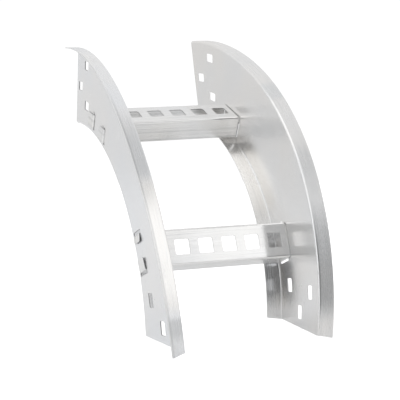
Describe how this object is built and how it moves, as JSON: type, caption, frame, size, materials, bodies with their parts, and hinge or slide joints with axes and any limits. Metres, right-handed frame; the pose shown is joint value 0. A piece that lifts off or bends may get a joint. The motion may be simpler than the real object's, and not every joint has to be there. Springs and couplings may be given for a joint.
{
  "type": "cable tray bend",
  "caption": "Vertical right-angle bend of a ladder-type cable tray: curved Z-section side rails joined by perforated channel rungs, with coupling slots at the rail ends.",
  "frame": {"origin": "centre of the lower end, in its cut plane, midway between the webs and halfway up the side height", "axes": "+X across the tray, from the left rail to the right rail; the lower end looks along -Z and the upper end along +Y; the convex side looks along -Y and +Z"},
  "size_m": [0.2498, 0.381, 0.3835],
  "materials": {
    "rail_sheet": "bare mill finish, bright, with fine rolling lines and light handling marks",
    "rung_sheet": "bare mill finish, bright, with fine lines along the channel"
  },
  "bodies": {
    "root": {"right_side_rail": "rail_sheet", "left_side_rail": "rail_sheet", "upper_rung": "rung_sheet", "lower_rung": "rung_sheet"}
  },
  "joints": []
}
